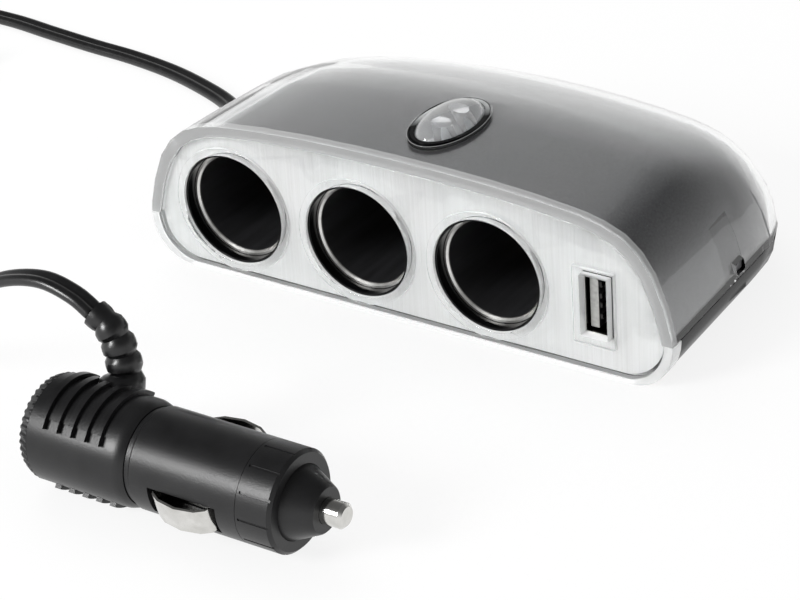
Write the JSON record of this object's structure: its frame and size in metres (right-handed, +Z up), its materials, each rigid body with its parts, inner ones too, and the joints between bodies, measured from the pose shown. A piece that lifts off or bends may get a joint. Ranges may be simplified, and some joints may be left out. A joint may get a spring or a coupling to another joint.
{
  "type": "car power socket splitter",
  "caption": "Clear-domed car power splitter: round lighter sockets and a USB outlet behind a brushed plate, fed by a flat twin cord from a fused lighter plug.",
  "frame": {"origin": "on the ground under the middle of the case's bounding box, without the cord and plug", "axes": "+X along the row of sockets, away from the cord's outlet; -Y the way the sockets face; +Z up"},
  "size_m": [0.2693, 0.1701, 0.04],
  "materials": {
    "base_plastic": "black moulded plastic, glossy",
    "clear_plastic": "clear moulded plastic",
    "shell_plastic": "dark grey metallic plastic seen through the clear cover",
    "brushed_plate": "brushed with a fine upright grain",
    "black_gloss": "black moulded plastic",
    "nickel": "nickel plated",
    "fibre_board": "insulating board",
    "brass": "plain brass",
    "wire_cover": "insulated wire",
    "bright_steel": "plated steel",
    "white_plastic": "white",
    "circuit_green": "lacquered circuit board",
    "ferrite": "ferrite core",
    "can_blue": "sleeved capacitor can",
    "chip_black": "moulded chip",
    "bezel_black": "black moulded plastic",
    "clear_lens": "clear",
    "cord_rubber": "black flexible sheath",
    "tie_black": "soft plastic band",
    "plug_satin": "black satin moulded plastic"
  },
  "bodies": {
    "case": {"base_tray": "base_plastic", "top_cover": "clear_plastic", "inner_shell": "shell_plastic", "front_panel": "clear_plastic", "face_plate": "brushed_plate", "socket_barrel_1": "black_gloss", "socket_barrel_2": "black_gloss", "socket_barrel_3": "black_gloss", "socket_sleeve_1": "nickel", "socket_sleeve_2": "nickel", "socket_sleeve_3": "nickel", "socket_insulator_1": "fibre_board", "socket_insulator_2": "fibre_board", "socket_insulator_3": "fibre_board", "centre_contact_1": "brass", "centre_contact_2": "brass", "centre_contact_3": "brass", "positive_busbar": "brass", "negative_busbar": "brass", "supply_wires": "wire_cover", "usb_shell": "bright_steel", "usb_tongue": "white_plastic", "usb_contacts": "brass", "circuit_board": "circuit_green", "inductor": "ferrite", "capacitors": "can_blue", "regulator_chip": "chip_black", "lens_bezel": "bezel_black", "led_lens": "clear_lens", "led_board": "circuit_green", "indicator_leds": "white_plastic", "case_screws": "bright_steel", "cord_grommet": "cord_rubber", "cord_lead": "cord_rubber", "cord_coil": "cord_rubber", "cord_tail": "cord_rubber", "cord_tie": "tie_black", "plug_grip": "plug_satin", "plug_end_cap": "plug_satin", "plug_boot": "cord_rubber", "plug_barrel": "plug_satin", "fuse_glass": "clear_lens", "fuse_caps": "nickel", "fuse_contact": "brass", "contact_bridge": "nickel"},
    "nose": {"plug_nose": "plug_satin", "nose_contact": "brass", "tip_spring": "bright_steel"},
    "ring": {"plug_ring": "plug_satin"},
    "tip": {"plug_tip": "nickel"},
    "upper_leaf": {"side_contact_upper": "nickel"},
    "lower_leaf": {"side_contact_lower": "nickel"}
  },
  "joints": [
    {"name": "nose_slide", "type": "slide", "parent": "case", "child": "nose", "axis": [1, 0, 0], "range_m": [0, 0.0045]},
    {"name": "ring_turn", "type": "hinge", "parent": "nose", "child": "ring", "pos_m": [0.026, -0.114, 0.0112], "axis": [1, 0, 0], "range_deg": [0, 1080]},
    {"name": "tip_press", "type": "slide", "parent": "nose", "child": "tip", "axis": [-1, 0, 0], "range_m": [0, 0.0023], "stiffness_N_per_m": 900, "deforming": ["tip_spring"]},
    {"name": "upper_leaf_press", "type": "slide", "parent": "case", "child": "upper_leaf", "axis": [0, -0.9659, -0.2588], "range_m": [0, 0.0013], "stiffness_N_per_m": 1500},
    {"name": "lower_leaf_press", "type": "slide", "parent": "case", "child": "lower_leaf", "axis": [0, 0.9659, 0.2588], "range_m": [0, 0.0013], "stiffness_N_per_m": 1500}
  ],
  "couplings": [
    {"joint": "ring_turn", "follows": "nose_slide", "rad_per_m": 4188.8}
  ]
}
